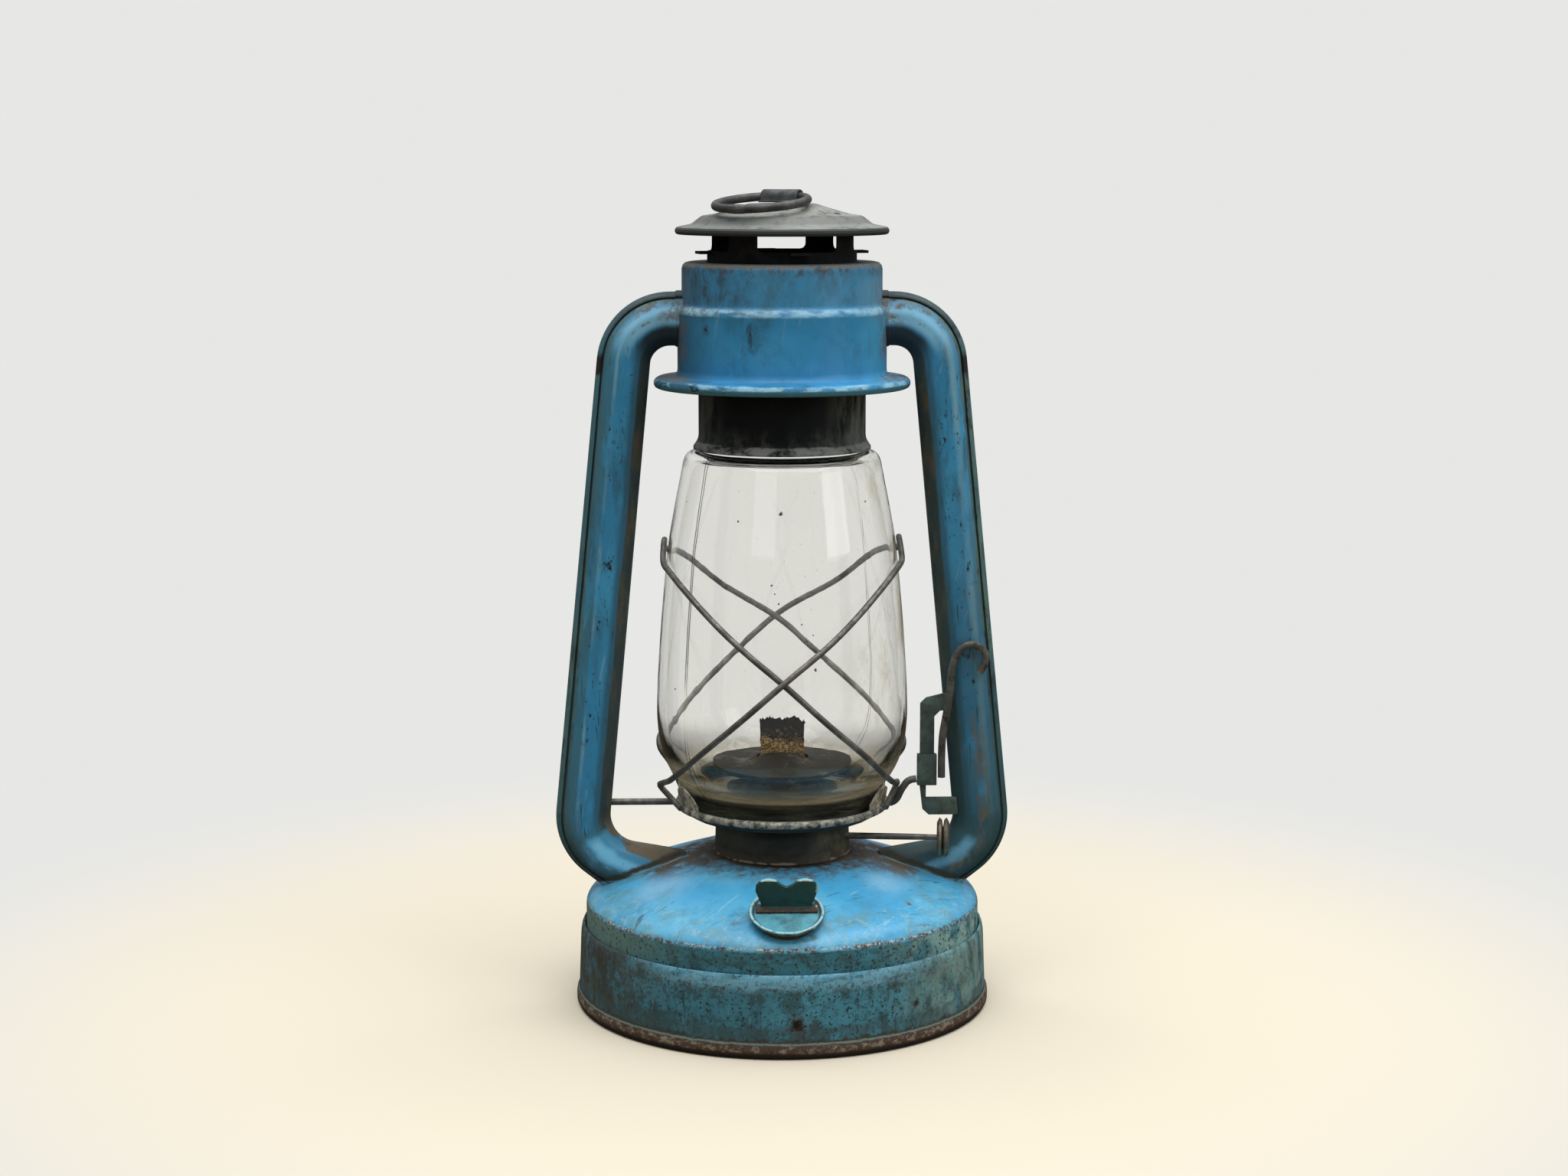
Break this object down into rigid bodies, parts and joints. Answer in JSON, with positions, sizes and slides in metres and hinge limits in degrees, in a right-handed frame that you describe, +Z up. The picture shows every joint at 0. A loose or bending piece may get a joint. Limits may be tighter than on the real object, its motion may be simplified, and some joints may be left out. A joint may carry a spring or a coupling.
{
  "type": "kerosene lantern",
  "caption": "Tubular kerosene lantern: tank base, side air tubes, glass globe on a lift plate with crossed wire guards, sprung hood with a ring.",
  "frame": {"origin": "centre of the foot ring's underside, on the lantern's upright axis", "axes": "+Z up along the lantern's axis, -Y to the front where the filler cap is, +X to the side with the globe lift and the wick knob"},
  "size_m": [0.1724, 0.158, 0.3078],
  "materials": {
    "band_blue": "teal-blue enamel paint, scuffed, with rust specks",
    "dome_blue": "bright blue enamel paint, satin, scuffed",
    "drum_blue": "blue enamel paint, satin, with scratches",
    "tube_blue": "blue enamel paint worn to grey-green along the edges",
    "dark_teal": "dark green-grey paint, matte",
    "cap_grey": "bare tinplate, dull grey and matte",
    "soot": "heat-blackened steel under soot",
    "wire_steel": "bare steel wire, dull and browned",
    "plate_steel": "bare steel plate, dull blue-grey",
    "knob_steel": "bare pressed steel, bright at the edge",
    "burner_brass": "old brass, tarnished to brown-grey",
    "seal": "brown seal ring",
    "wick_cloth": "woven cotton, charred black at the top",
    "globe_glass": "clear glass with a light haze"
  },
  "bodies": {
    "frame": {"fount_base": "band_blue", "fount_top": "dome_blue", "tank_lid": "burner_brass", "filler_neck": "burner_brass", "burner_collar": "burner_brass", "burner_basket": "burner_brass", "burner_cone": "soot", "wick_tube": "burner_brass", "side_tube_left": "tube_blue", "side_tube_right": "tube_blue", "drum": "drum_blue", "drum_floor": "drum_blue", "lift_bracket": "dark_teal", "hood_spring": "wire_steel"},
    "carrier": {"globe": "globe_glass", "globe_plate": "plate_steel", "guard_wire_left": "wire_steel", "guard_wire_right": "wire_steel", "guide_rod": "wire_steel", "lift_arm": "wire_steel", "lift_slider": "dark_teal", "lift_lever": "wire_steel"},
    "hood": {"hood_sleeve": "soot", "chimney": "soot", "hood_cap": "cap_grey", "hood_strap": "cap_grey"},
    "ring": {"hood_ring": "wire_steel"},
    "wick_drive": {"wick_shaft": "wire_steel", "spur_wheel_left": "wire_steel", "spur_wheel_right": "wire_steel", "wick_knob": "knob_steel"},
    "wick": {"wick": "wick_cloth"},
    "cap_seal": {"filler_washer": "seal"},
    "cap": {"filler_cap": "dome_blue", "filler_wing": "dark_teal"}
  },
  "joints": [
    {"name": "globe_lift", "type": "slide", "parent": "frame", "child": "carrier", "axis": [0, 0, 1], "range_m": [0, 0.014], "deforming": ["hood_spring"]},
    {"name": "hood_lift", "type": "slide", "parent": "carrier", "child": "hood", "axis": [0, 0, 1], "range_m": [0, 0.012], "stiffness_N_per_m": 60, "springref_m": -0.02},
    {"name": "ring_swing", "type": "hinge", "parent": "hood", "child": "ring", "pos_m": [0, 0, 0.30505], "axis": [-0.8387, 0.5446, 0], "range_deg": [0, 175]},
    {"name": "wick_knob_turn", "type": "hinge", "parent": "frame", "child": "wick_drive", "pos_m": [-0.00064, -0.00617, 0.0649], "axis": [0.9947, -0.1028, 0], "range_deg": [-163, 46]},
    {"name": "wick_raise", "type": "slide", "parent": "frame", "child": "wick", "axis": [0, 0, 1], "range_m": [-0.014, 0.004]},
    {"name": "cap_lift", "type": "slide", "parent": "frame", "child": "cap_seal", "axis": [0, -0.3584, 0.9336], "range_m": [0, 0.0045]},
    {"name": "cap_turn", "type": "hinge", "parent": "cap_seal", "child": "cap", "pos_m": [0, -0.06202, 0.0474], "axis": [0, -0.3584, 0.9336], "range_deg": [0, 540]}
  ],
  "couplings": [
    {"joint": "wick_raise", "follows": "wick_knob_turn", "m_per_rad": 0.0049},
    {"joint": "cap_lift", "follows": "cap_turn", "m_per_rad": 0.000477}
  ]
}
